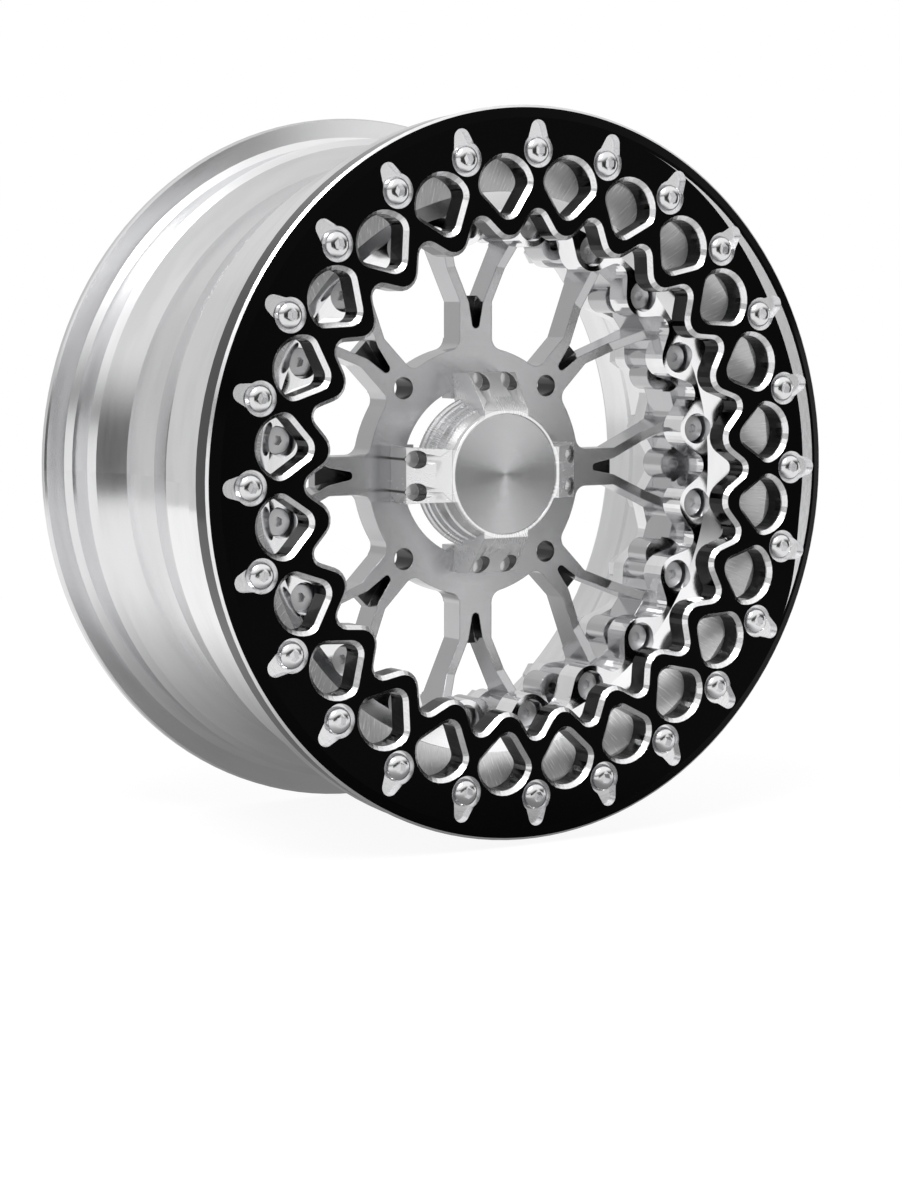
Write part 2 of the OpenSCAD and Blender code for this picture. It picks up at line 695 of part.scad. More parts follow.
module leg_plan() {
    side = leg_side();
    polygon(concat(side, [for (i = [len(side) - 1:-1:0]) [side[i][0], -side[i][1]]]));
}

// Side view of a leg: x out from the axle, y up.
module leg_profile() {
    p = [foot_edge_r, foot_edge_z];
    q = [foot_r, plate_t];
    d = q - p;
    n = [-d[1], d[0]] / norm(d);
    c = (p + q) / 2 + n * sqrt(pow(foot_hollow_r, 2) - d * d / 4);
    a0 = atan2(p[1] - c[1], p[0] - c[0]);
    a1 = atan2(q[1] - c[1], q[0] - c[0]);
    polygon(concat([[tab_r, plate_t], [cap_bore_r - 2, skirt_z + 4], [cap_bore_r - 2, cap_z], [cap_r, cap_z]],
                   arc(c, foot_hollow_r, a0 < 0 ? a0 + 360 : a0, a1 < 0 ? a1 + 360 : a1, 6)));
}

module cap_tower() {
    tail = [leg_pocket_at - leg_pocket_d / 2 + 0.2 + leg_tail_d / 2 * sin(leg_tail_angle),
            leg_pocket_z + leg_wall_h + leg_tail_d / 2 * cos(leg_tail_angle)];
    color([0.72, 0.73, 0.74]) difference() {
        union() {
            rotate_extrude($fn = 128) polygon([
                [cap_bore_r, skirt_z], [skirt_r, skirt_z], [skirt_r, skirt_z + 2.2], [skirt_r - 1.4, skirt_z + 2.8],
                [skirt_r - 1.6, skirt_z + 5], [skirt_r - 2.8, skirt_z + 5.4], [skirt_r - 3.2, skirt_z + 10],
                [skirt_r - 5, skirt_z + 10.4], [skirt_r - 5, skirt_z + 12.2], [skirt_r - 3.9, skirt_z + 12.6],
                [skirt_r - 5, skirt_z + 17.4], [skirt_r - 6.6, skirt_z + 17.8], [skirt_r - 6.6, skirt_z + 19.4],
                [skirt_r - 5.8, skirt_z + 19.8], [cap_r, cap_z - 4], [cap_r, cap_z - 0.6], [cap_r - 0.6, cap_z],
                [cap_bore_r, cap_z]]);
            round_pattern(4) intersection() {
                rotate([90, 0, 0]) translate([0, 0, -leg_foot_w]) linear_extrude(height = 2 * leg_foot_w) leg_profile();
                linear_extrude(height = cap_z + eps) leg_plan();
            }
        }
        translate([0, 0, plate_t - eps]) cylinder(r = cap_bore_r, h = disc_z - disc_ledge - plate_t + eps);
        translate([0, 0, plate_t]) cylinder(r = seat_r - disc_ledge, h = cap_z);
        translate([0, 0, disc_z]) cylinder(r = seat_r, h = cap_z);
        translate([0, 0, disc_z - cap_seal_d])
            tube(seat_r - 1.2, seat_r - 1.2 - cap_seal_d, cap_seal_d + eps);
        at_leg_screws() translate([0, 0, plate_t - eps])
            cylinder(d = leg_screw_d, h = leg_pocket_z - leg_floor_t - plate_t + eps);
        round_pattern(4) for (s = [-1, 1]) translate([0, s * leg_pocket_off, 0]) {
            translate([leg_pocket_at, 0, leg_pocket_z]) cylinder(d = leg_pocket_d, h = cap_z);
            translate([tail[0], 0, tail[1]]) rotate([0, leg_tail_angle - 90, 0]) cylinder(d = leg_tail_d, h = 40);
        }
    }
}

module cap_disc() {
    color([0.66, 0.67, 0.68]) translate([0, 0, disc_z]) cylinder(r = seat_r - disc_gap, h = disc_t);
}

module cap_seal() {
    color([0.08, 0.08, 0.08]) translate([0, 0, disc_z - cap_seal_d / 2])
        rotate_extrude($fn = 96) translate([seat_r - 1.2 - cap_seal_d / 2, 0]) circle(d = cap_seal_d, $fn = 24);
}

module cap_screws() {
    color([0.75, 0.76, 0.78]) at_leg_screws() translate([0, 0, leg_seat_z]) difference() {
        union() {
            cylinder(d = leg_screw_d, h = leg_pocket_z - leg_floor_t - 1 - leg_seat_z);
            translate([0, 0, -leg_head_h + 0.5]) cylinder(d = leg_head_d, h = leg_head_h - 0.5 + eps / 4);
            translate([0, 0, -leg_head_h]) cylinder(d1 = leg_head_d - 1, d2 = leg_head_d, h = 0.5);
        }
        translate([0, 0, -leg_head_h - eps]) hex(leg_socket, leg_head_h * 0.6 + eps);
    }
}

// Valve: local z runs inward from the outer seat.

module at_valve() {
    rotate([0, 0, valve_angle]) translate([valve_out_r, 0, -valve_z]) rotate([0, -90, 0]) children();
}

module valve_stem() {
    color([0.7, 0.7, 0.72]) at_valve() difference() {
        union() {
            translate([0, 0, -grommet_t - stem_head_t]) cylinder(d = stem_head_d, h = stem_head_t);
            translate([0, 0, -grommet_t - eps]) cylinder(d = stem_d, h = valve_len + grommet_t + eps);
        }
        translate([0, 0, -grommet_t - stem_head_t - eps])
            cylinder(d = stem_bore, h = valve_len + grommet_t + stem_head_t + 2 * eps);
    }
}

module valve_grommet() {
    color([0.08, 0.08, 0.08]) at_valve() difference() {
        union() {
            translate([0, 0, -grommet_t]) cylinder(d = grommet_d, h = grommet_t);
            translate([0, 0, -eps]) cylinder(d = valve_hole, h = valve_out_r - valve_in_r + eps);
        }
        translate([0, 0, -grommet_t - eps]) cylinder(d = stem_d, h = 12);
    }
}

module valve_washer() {
    color([0.7, 0.7, 0.72]) at_valve() translate([0, 0, valve_out_r - valve_in_r])
        tube(grommet_d / 2, stem_d / 2, valve_washer_t);
}

module valve_nut() {
    color([0.7, 0.7, 0.72]) at_valve() translate([0, 0, valve_out_r - valve_in_r + valve_washer_t]) difference() {
        hex(valve_nut_af, valve_nut_h);
        translate([0, 0, -eps]) cylinder(d = stem_d, h = valve_nut_h + 2 * eps);
    }
}

module valve_core() {
    color([0.75, 0.65, 0.4]) at_valve() translate([0, 0, valve_len - core_len - 1]) cylinder(d = stem_bore, h = core_len);
}

module valve_cap() {
    color([0.1, 0.1, 0.1]) at_valve() translate([0, 0, valve_len + valve_cap_wall - valve_cap_len]) difference() {
        cylinder(d = valve_cap_d, h = valve_cap_len);
        translate([0, 0, -eps]) cylinder(d = stem_d, h = valve_cap_len - valve_cap_wall + eps);
    }
}

// The row's frame: the axle along Y, the face towards -Y, +Z up.
rotate([90, 0, 0]) {
    beadlock_ring();
    ring_screws();
    ring_inserts();
    front_barrel();
    rear_barrel();
    barrel_seal();
    wheel_centre();
    assembly_bolts();
    assembly_washers();
    assembly_nuts();
    cap_tower();
    cap_disc();
    cap_seal();
    cap_screws();
    valve_stem();
    valve_grommet();
    valve_washer();
    valve_nut();
    valve_core();
    valve_cap();
}
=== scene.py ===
"""Looks of a 15 x 7 inch beadlock wheel with four lugs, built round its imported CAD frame.

The frame is in metres: the axle runs along Y, the wheel's face looks along -Y, +Z is up, and the
origin is on the hub's mounting face. Angles round the wheel count from +X towards +Z.
"""

import logging
import math
from collections.abc import Iterable, Mapping
from dataclasses import dataclass, field
from enum import Enum
from typing import Any

import bmesh
import bpy
from mathutils import Matrix, Vector


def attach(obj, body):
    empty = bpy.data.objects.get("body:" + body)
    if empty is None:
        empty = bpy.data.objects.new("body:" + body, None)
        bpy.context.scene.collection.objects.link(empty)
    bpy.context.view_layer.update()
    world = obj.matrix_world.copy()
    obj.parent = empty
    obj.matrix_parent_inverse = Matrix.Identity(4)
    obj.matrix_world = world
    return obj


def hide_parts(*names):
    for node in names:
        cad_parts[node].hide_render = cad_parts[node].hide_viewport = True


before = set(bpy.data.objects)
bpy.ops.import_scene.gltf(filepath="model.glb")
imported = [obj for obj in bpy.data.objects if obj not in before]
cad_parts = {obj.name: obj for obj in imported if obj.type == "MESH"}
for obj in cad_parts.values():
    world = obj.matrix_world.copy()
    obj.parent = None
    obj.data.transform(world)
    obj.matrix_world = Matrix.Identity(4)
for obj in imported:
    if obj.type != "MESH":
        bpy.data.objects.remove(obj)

log = logging.getLogger("wheel")
MM = 0.001
FACE_Y = -0.082
ROOT = "root"


class Op(Enum):
    """The Math node's operations that are used."""

    ADD = "ADD"
    SUBTRACT = "SUBTRACT"
    MULTIPLY = "MULTIPLY"
    DIVIDE = "DIVIDE"
    POWER = "POWER"
    ABSOLUTE = "ABSOLUTE"
    MINIMUM = "MINIMUM"
    MAXIMUM = "MAXIMUM"
    MODULO = "MODULO"
    FRACT = "FRACT"
    SINE = "SINE"
    COSINE = "COSINE"
    ARCTAN2 = "ARCTAN2"


class Graph:
    """A node tree that is being written, for a material, the world or Geometry Nodes."""

    def __init__(self, tree: bpy.types.NodeTree) -> None:
        """Keeps the tree that the nodes go into."""
        self.tree = tree

    def node(
        self,
        kind: str,
        inputs: Mapping[str | int, Any] | None = None,
        stops: Iterable[tuple[float, float]] = (),
        **settings: Any,
    ) -> bpy.types.Node:
        """Makes one node.

        Args:
            kind: the node's type.
            inputs: a value or a link for each socket, by its name or number.
            stops: a colour ramp's stops, as places and grey levels.
            settings: the node's own properties, which are set first.

        Returns:
            The new node.
        """
        made = self.tree.nodes.new(kind)
        for name, value in settings.items():
            setattr(made, name, value)
        for index, (place, level) in enumerate(stops):
            elements = made.color_ramp.elements
            element = elements[index] if index < len(elements) else elements.new(place)
            element.position = place
            element.color = (level, level, level, 1.0)
        for key, value in (inputs or {}).items():
            socket = made.inputs[key]
            if isinstance(value, Term):
                self.tree.links.new(value.socket, socket)
            elif isinstance(value, bpy.types.NodeSocket):
                self.tree.links.new(value, socket)
            else:
                socket.default_value = value
        return made

    def term(self, socket: bpy.types.NodeSocket) -> "Term":
        """Wraps a socket, so that Python's operators work on it."""
        return Term(self, socket)


@dataclass(frozen=True, eq=False)
class Term:
    """A number in a node tree. Each operator on it adds a Math node."""

    graph: Graph
    socket: bpy.types.NodeSocket

    def do(self, operation: Op, *terms: Any) -> "Term":
        """Adds a Math node.

        Args:
            operation: the Math node's operation.
            terms: its inputs, in their order.

        Returns:
            The result.
        """
        made = self.graph.node(
            "ShaderNodeMath", dict(enumerate(terms)), operation=operation.value
        )
        return Term(self.graph, made.outputs[0])

    def __add__(self, other: Any) -> "Term":
        """self + other."""
        return self.do(Op.ADD, self, other)

    def __radd__(self, other: Any) -> "Term":
        """other + self."""
        return self.do(Op.ADD, other, self)

    def __sub__(self, other: Any) -> "Term":
        """self - other."""
        return self.do(Op.SUBTRACT, self, other)

    def __rsub__(self, other: Any) -> "Term":
        """other - self."""
        return self.do(Op.SUBTRACT, other, self)

    def __mul__(self, other: Any) -> "Term":
        """self * other."""
        return self.do(Op.MULTIPLY, self, other)

    def __rmul__(self, other: Any) -> "Term":
        """other * self."""
        return self.do(Op.MULTIPLY, other, self)

    def __truediv__(self, other: Any) -> "Term":
        """self / other."""
        return self.do(Op.DIVIDE, self, other)

    def __rtruediv__(self, other: Any) -> "Term":
        """other / self."""
        return self.do(Op.DIVIDE, other, self)

    def __pow__(self, other: Any) -> "Term":
        """self ** other."""
        return self.do(Op.POWER, self, other)

    def __neg__(self) -> "Term":
        """-self."""
        return self.do(Op.MULTIPLY, self, -1.0)

    def __abs__(self) -> "Term":
        """abs(self)."""
        return self.do(Op.ABSOLUTE, self)

    def at_most(self, other: Any) -> "Term":
        """The smaller of the two."""
        return self.do(Op.MINIMUM, self, other)

    def at_least(self, other: Any) -> "Term":
        """The larger of the two."""
        return self.do(Op.MAXIMUM, self, other)

    def ramp(self, low: float, high: float, start: float = 0.0, end: float = 1.0) -> "Term":
        """A smooth step.

        Args:
            low: where it starts.
            high: where it ends.
            start: the result below low.
            end: the result above high.

        Returns:
            The step's value.
        """
        made = self.graph.node(
            "ShaderNodeMapRange",
            {0: self, 1: low, 2: high, 3: start, 4: end},
            interpolation_type="SMOOTHSTEP",
        )
        return Term(self.graph, made.outputs[0])

    def over(self, level: float, soft: float) -> "Term":
        """1 above the level, 0 below, with a soft edge of that width."""
        return self.ramp(level - soft / 2, level + soft / 2)

    def below(self, level: float, soft: float) -> "Term":
        """1 below the level, 0 above, with a soft edge of that width."""
        return self.ramp(level - soft / 2, level + soft / 2, 1.0, 0.0)

    def between(self, low: float, high: float, soft: float) -> "Term":
        """1 between low and high, 0 outside, with soft edges of that width."""
        return self.over(low, soft) * self.below(high, soft)


@dataclass
class Surface:
    """What a material knows of the point that it shades."""

    graph: Graph
    spot: Term = field(init=False)
    x: Term = field(init=False)
    y: Term = field(init=False)
    z: Term = field(init=False)
    radius: Term = field(init=False)
    turn: Term = field(init=False)

    def __post_init__(self) -> None:
        """Reads the Object coordinates, the radius from the axle and the angle round it."""
        coords = self.graph.node("ShaderNodeTexCoord")
        self.spot = self.graph.term(coords.outputs["Object"])
        parts = self.graph.node("ShaderNodeSeparateXYZ", {0: self.spot})
        self.x, self.y, self.z = (self.graph.term(o) for o in parts.outputs)
        self.radius = (self.x * self.x + self.z * self.z) ** 0.5
        self.turn = self.z.do(Op.ARCTAN2, self.z, self.x)

    def normal(self) -> list[Term]:
        """The true surface's direction, as its parts along X, Y and Z."""
        geometry = self.graph.node("ShaderNodeNewGeometry")
        parts = self.graph.node("ShaderNodeSeparateXYZ", {0: geometry.outputs["True Normal"]})
        return [self.graph.term(o) for o in parts.outputs]

    def facing(self) -> Term:
        """How far the true surface looks along the axle, from 0 to 1."""
        return abs(self.normal()[1])

    def turned_out(self) -> Term:
        """How far the true surface looks away from the axle, from -1 to 1."""
        across, _, up = self.normal()
        return (across * self.x + up * self.z) / self.radius

    def folded(self, count: int, first: float = 0.0) -> Term:
        """The angle from the nearest of a ring of like places.

        Args:
            count: how many places there are round the axle.
            first: the angle of the first one.

        Returns:
            The angle in radians, 0 at each place.
        """
        step = math.tau / count
        turn = self.turn + (math.tau + step / 2 - first)
        return turn.do(Op.MODULO, turn, step) - step / 2

    def noise(
        self,
        scale: float,
        stretch: tuple[float, float, float] = (1.0, 1.0, 1.0),
        detail: float = 2.0,
        rough: float = 0.5,
    ) -> Term:
        """Noise over the piece.

        Args:
            scale: cells per metre.
            stretch: the coordinates' factors along X, Y and Z.
            detail: the noise's octaves.
            rough: how strong its fine octaves are.

        Returns:
            Its level, about 0.5.
        """
        mapped = self.graph.node("ShaderNodeMapping", {"Vector": self.spot, "Scale": stretch})
        made = self.graph.node(
            "ShaderNodeTexNoise",
            {"Vector": mapped.outputs[0], "Scale": scale, "Detail": detail, "Roughness": rough},
        )
        return self.graph.term(made.outputs[0])

    def turned_noise(
        self, across: float, round_scale: float, deep: float, detail: float = 2.0
    ) -> Term:
        """Noise in the wheel's own directions, for lathe lines and radial scratches.

        Args:
            across: cells per metre of radius.
            round_scale: cells per radian round the axle.
            deep: cells per metre along the axle.
            detail: the noise's octaves.

        Returns:
            Its level, about 0.5.
        """
        spot = self.graph.node(
            "ShaderNodeCombineXYZ",
            {0: self.radius * across, 1: self.turn * round_scale, 2: self.y * deep},
        )
        made = self.graph.node(
            "ShaderNodeTexNoise", {"Vector": spot.outputs[0], "Scale": 1.0, "Detail": detail}
        )
        return self.graph.term(made.outputs[0])


def mixed(graph: Graph, share: Any, first: Any, second: Any) -> bpy.types.NodeSocket:
    """Joins two colours.

    Args:
        graph: the material's graph.
        share: how much of the second is taken.
        first: a colour or its socket.
        second: a colour or its socket.

    Returns:
        The colour's socket.
    """
    made = graph.node(
        "ShaderNodeMix", {0: share, 6: rgba(first), 7: rgba(second)}, data_type="RGBA"
    )
    return made.outputs[2]


def rgba(colour: Any) -> Any:
    """A grey level or three numbers as four, and a socket as it is."""
    if isinstance(colour, (int, float)):
        return (colour, colour, colour, 1.0)
    if isinstance(colour, tuple) and len(colour) == 3:
        return (*colour, 1.0)
    return colour


@dataclass(frozen=True)
class Finish:
    """A finish: its constants are fields, and a subclass writes what varies over the surface."""

    name: str
    metallic: float = 1.0
    rough: float = 0.25
    colour: tuple[float, float, float] = (0.8, 0.8, 0.81)
    specular: float = 0.5
    edge: float = 0.0

    def material(self) -> bpy.types.Material:
        """Builds the material.

        Returns:
            The material with its nodes.
        """
        made = bpy.data.materials.new(self.name)
        made.use_nodes = True
        made.node_tree.nodes.clear()
        graph = Graph(made.node_tree)
        shader = graph.node(
            "ShaderNodeBsdfPrincipled",
            {
                "Base Color": rgba(self.colour),
                "Metallic": self.metallic,
                "Roughness": self.rough,
                "Specular IOR Level": self.specular,
            },
        )
        self.dress(graph, Surface(graph), shader)
        graph.node("ShaderNodeOutputMaterial", {"Surface": shader.outputs[0]})
        made.diffuse_color = rgba(self.colour)
        return made

    def dress(self, graph: Graph, at: Surface, shader: bpy.types.Node) -> None:
        """Writes what varies over the surface; the plain finish has fine grain only."""
        grain = at.noise(900.0, detail=3.0)
        self.link(graph, shader, "Roughness", self.rough + (grain - 0.5) * 0.12)
        self.bump(graph, shader, grain, 0.02, 0.0004)

    def clouded(
        self, graph: Graph, cloud: Term, band: tuple[float, float], shade: float
    ) -> bpy.types.NodeSocket:
        """The finish's colour with darker clouds.

        Args:
            graph: the material's graph.
            cloud: noise, about 0.5.
            band: where the noise's ramp starts and ends.
            shade: the darker clouds' share of the colour.

        Returns:
            The colour's socket.
        """
        return mixed(graph, cloud.ramp(*band), tuple(c * shade for c in self.colour), self.colour)

    @staticmethod
    def link(graph: Graph, shader: bpy.types.Node, socket: str, value: Any) -> None:
        """Feeds one socket of the shader."""
        link_from = value.socket if isinstance(value, Term) else value
        graph.tree.links.new(link_from, shader.inputs[socket])

    def bump(
        self,
        graph: Graph,
        shader: bpy.types.Node,
        height: Term,
        strength: float = 1.0,
        reach: float = 1.0,
        width: float = 0.1,
    ) -> None:
        """Feeds the shader's normal from a height, over a softened edge where the finish has one.

        Args:
            graph: the material's graph.
            shader: the shader node.
            height: the height, in metres where reach is 1.
            strength: the bump's strength.
            reach: the height's size in metres.
            width: how far apart the heights are read, in pixels.
        """
        inputs: dict[str | int, Any] = {
            "Height": height,
            "Strength": strength,
            "Distance": reach,
            "Filter Width": width,
        }
        if self.edge > 0:
            soft = graph.node("ShaderNodeBevel", {"Radius": self.edge}, samples=4)
            inputs["Normal"] = soft.outputs[0]
        made = graph.node("ShaderNodeBump", inputs)
        graph.tree.links.new(made.outputs[0], shader.inputs["Normal"])


@dataclass(frozen=True)
class RingFinish(Finish):
    """Gloss black on the clamp ring, with its machined bevels and screw pockets left bright.

    Lengths are in metres. A depth is counted from the ring's face towards the back. The bright arc
    on the face's right side is a painted highlight.
    """

    bevel: tuple[float, float] = (0.45, 0.93)
    bevel_depth: float = 0.0035
    sloped_face: tuple[float, float] = (0.1950, 0.2032)
    rim_from: float = 0.2034
    rim_depth: float = 0.0043
    pocket_depth: tuple[float, float] = (0.00012, 0.00325)
    pocket: tuple[float, float] = (0.1695, 0.1975)
    pocket_end: float = 0.197675
    # a painted highlight: the bright arc's radii, its angles in degrees, and how far it narrows at
    # each end
    painted_glint: tuple[float, float] = (0.1885, 0.1956)
    painted_glint_turn: tuple[float, float] = (-27.0, 68.0)
    painted_glint_taper: tuple[float, float] = (0.35, 0.75)
    wall: tuple[float, float, float] = (0.03, 0.03, 0.03)
    metal_rough: float = 0.22

    def dress(self, graph: Graph, at: Surface, shader: bpy.types.Node) -> None:
        """Tells machined metal from black by where it lies and how it looks, with the painted
        highlight arc as bright metal.
        """
        facing = at.facing()
        wall = facing.ramp(0.2, 0.5, 1.0, 0.0)
        bare_and_painted_glint = self.bare_and_painted_glint(at, facing)
        streaks = at.turned_noise(900.0, 40.0, 900.0)
        grain = at.noise(1400.0, detail=3.0)
        metal = mixed(graph, streaks, (0.70, 0.70, 0.71), (0.95, 0.95, 0.96))
        black = mixed(graph, wall, self.colour, self.wall)
        self.link(graph, shader, "Base Color", mixed(graph, bare_and_painted_glint, black, metal))
        self.link(graph, shader, "Metallic", bare_and_painted_glint.at_least(wall))
        metal_rough = self.metal_rough + (streaks - 0.5) * 0.12
        black_rough = self.rough + (grain - 0.5) * 0.04
        rough = bare_and_painted_glint * metal_rough + (1.0 - bare_and_painted_glint) * black_rough
        self.link(graph, shader, "Roughness", rough)
        self.bump(graph, shader, grain * 0.000002)

    def bare_and_painted_glint(self, at: Surface, facing: Term) -> Term:
        """Where machined metal shows, and where the painted highlight arc is laid on as bright
        metal.

        Args:
            at: the shaded point.
            facing: how far the surface looks along the axle.

        Returns:
            1 on machined metal and on the painted highlight, 0 on black.
        """
        depth = at.y - FACE_Y
        bevels = facing.between(*self.bevel, 0.02) * depth.below(self.bevel_depth, 0.0002)
        bevels = bevels * (1.0 - at.radius.between(*self.sloped_face, 0.0001))
        rim = at.radius.over(self.rim_from, 0.0001) * depth.below(self.rim_depth, 0.0002)
        top, floor = self.pocket_depth
        pockets = (
            depth.over(top, 0.00008)
            * depth.below(floor, 0.0001)
            * at.radius.between(*self.pocket, 0.0001)
            * at.radius.below(self.pocket_end, 0.00005)
        )
        # painted highlight: bright bare metal laid on the face's right side only, where a
        # reflection shows
        painted_glint = self.painted_glint_arc(at) * facing.ramp(0.98, 0.99)
        return bevels.at_least(rim).at_least(pockets).at_least(painted_glint)

    def painted_glint_arc(self, at: Surface) -> Term:
        """Where the painted highlight on the ring's right side is, a bright arc set by angle, as 1
        there and 0 elsewhere.
        """
        inner, outer = self.painted_glint
        start, end = (math.radians(a) for a in self.painted_glint_turn)
        first, last = self.painted_glint_taper
        narrowing = at.turn.ramp(start, start + first, 1.0, 0.0) + at.turn.ramp(end - last, end)
        inside = at.radius - (narrowing * (outer - inner) + inner)
        return (
            inside.ramp(0.0, 0.0002)
            * at.radius.below(outer, 0.0002)
            * at.turn.between(start, end, 0.02)
        )


@dataclass(frozen=True)
class TurnedFinish(Finish):
    """Turned and polished aluminium, with fine lathe lines round the axle."""

    lines: float = 3000.0
    line_depth: float = 0.00001
    patch: float = 0.10
    shade: float = 0.93

    def dress(self, graph: Graph, at: Surface, shader: bpy.types.Node) -> None:
        """Adds the lathe lines, broad cloudy patches and fine wear."""
        lines, cloud = self.lathe(at)
        tone = self.clouded(graph, cloud, (0.35, 0.65), self.shade)
        self.link(graph, shader, "Base Color", tone)
        self.link(graph, shader, "Roughness", self.polish(lines, cloud))
        self.bump(graph, shader, lines * self.line_depth)

    def lathe(self, at: Surface) -> tuple[Term, Term]:
        """The lathe lines and the broad clouds, each about 0.5."""
        return at.turned_noise(self.lines, 0.6, self.lines), at.turned_noise(60.0, 2.5, 60.0, 3.0)

    def polish(self, lines: Term, cloud: Term) -> Term:
        """The polish's roughness from its lines and clouds."""
        return self.rough + (cloud - 0.5) * self.patch + (lines - 0.5) * 0.05


@dataclass(frozen=True)
class FlangeFinish(TurnedFinish):
    """The front barrel: polished outside and on the bolt flange, satin in the bowl."""

    line_depth: float = 0.000003
    bowl: tuple[float, float] = (0.1585, 0.1900)
    bowl_back: float = -0.029
    bowl_rough: float = 0.24
    bowl_satin: float = 0.75
    bowl_tones: tuple[float, float] = (0.86, 0.99)
    streak_depth: float = 0.00006

    def dress(self, graph: Graph, at: Surface, shader: bpy.types.Node) -> None:
        """Adds lathe lines on the polish and radial streaks in the bowl."""
        lines, cloud = self.lathe(at)
        streaks = at.turned_noise(90.0, 130.0, 90.0, detail=4.0)
        bowl = (
            at.radius.between(*self.bowl, 0.0006)
            * at.turned_out().ramp(0.2, 0.3, 1.0, 0.0)
            * at.y.below(self.bowl_back, 0.002)
        )
        tone = self.clouded(graph, cloud, (0.35, 0.65), self.shade)
        streaked = mixed(graph, streaks.ramp(0.3, 0.6), *self.bowl_tones)
        self.link(graph, shader, "Base Color", mixed(graph, bowl, tone, streaked))
        self.link(graph, shader, "Metallic", 1.0 - bowl * self.bowl_satin)
        coarse = self.bowl_rough + (streaks - 0.5) * 0.3
        rough = self.polish(lines, cloud) * (1.0 - bowl) + coarse * bowl
        self.link(graph, shader, "Roughness", rough)
        self.bump(graph, shader, lines * self.line_depth + streaks * bowl * self.streak_depth)


@dataclass(frozen=True)
class Ring:
    """A ring of like round places: its radius, each place's radius, and how many there are."""

    circle: float
    reach: float
    count: int


@dataclass(frozen=True)
class Slots:
    """The slots in the stems: along the stem, the half width at the tip, and the depth."""

    count: int = 8
    along: tuple[float, float] = (0.0815, 0.1010)
    widens_from: float = 0.0845
    half: float = 0.0027
    slope: float = 0.16
    depth: tuple[float, float] = (0.00085, 0.0101)


@dataclass(frozen=True)
class BrushedFinish(Finish):
    """Aluminium brushed round the axle: grooves too fine to see, which spread its highlights.

    The spread is the grooves' steepest slope and the dish is the face's own lean, in degrees.
    """

    grooves: float = 10000.0
    spread: float = 13.0
    dish: float = -4.0
    face_at: float = -0.0182
    # how dark the painted shade on the holes' walls and in the slots is
    hole_painted_shade: float = 0.93
    holes: Ring = Ring(0.0685, 0.0092, 4)
    slots: Slots = Slots()

    def dress(self, graph: Graph, at: Surface, shader: bpy.types.Node) -> None:
        """Adds the grooves on faces across the axle, clouds, wear, and painted shade on the holes'
        walls and in the slots.
        """
        facing = at.facing()
        flat = facing.ramp(0.90, 0.97)
        place = at.radius * self.grooves
        across = place.do(Op.FRACT, place) - 0.5
        lines = at.turned_noise(700.0, 1.5, 700.0, detail=3.0)
        grain = at.noise(2200.0, detail=3.0)
        cloud = at.noise(22.0, detail=2.0)
        # painted shade: the holes' upright walls and the slots' insides go near black
        dark = self.hole_shade_mask(at) * facing.ramp(0.3, 0.6, 1.0, 0.0)
        dark = dark.at_least(self.slot_shade_mask(at)) * self.hole_painted_shade
        tone = self.clouded(graph, cloud, (0.3, 0.7), 0.94)
        worn = mixed(graph, (lines - 0.5) * 0.25 + 0.1, tone, 0.5)
        self.link(graph, shader, "Base Color", mixed(graph, dark, worn, 0.02))
        rough = self.rough + (cloud - 0.5) * 0.08 + (grain - 0.5) * 0.06 + (lines - 0.5) * 0.08
        self.link(graph, shader, "Roughness", rough)
        steep = math.tan(math.radians(self.spread)) / self.grooves
        lean = math.tan(math.radians(self.dish))
        height = across * across * flat * steep - at.radius * flat * lean
        self.bump(graph, shader, height + grain * 0.0000004, width=0.02)

    def slot_shade_mask(self, at: Surface) -> Term:
        """Where the slots are cut below the face, as 1 inside and 0 elsewhere, for their painted
        shade.
        """
        slots = self.slots
        across = abs(at.folded(slots.count)) * at.radius
        edge = slots.half + (at.radius - slots.widens_from).at_least(0.0) * slots.slope
        depth = at.y - self.face_at
        top, floor = slots.depth
        return (
            (edge + 0.0001 - across).ramp(0.0, 0.0001)
            * at.radius.between(*slots.along, 0.0002)
            * depth.over(top, 0.0007)
            * depth.below(floor, 0.0002)
        )

    def hole_shade_mask(self, at: Surface) -> Term:
        """Where the holes of one circle are, as 1 inside a hole and 0 elsewhere, for their walls'
        painted shade.
        """
        holes = self.holes
        across = at.folded(holes.count, math.pi / holes.count) * holes.circle
        along = at.radius - holes.circle
        away = (across * across + along * along) ** 0.5
        return away.ramp(holes.reach - 0.0001, holes.reach, 1.0, 0.0)


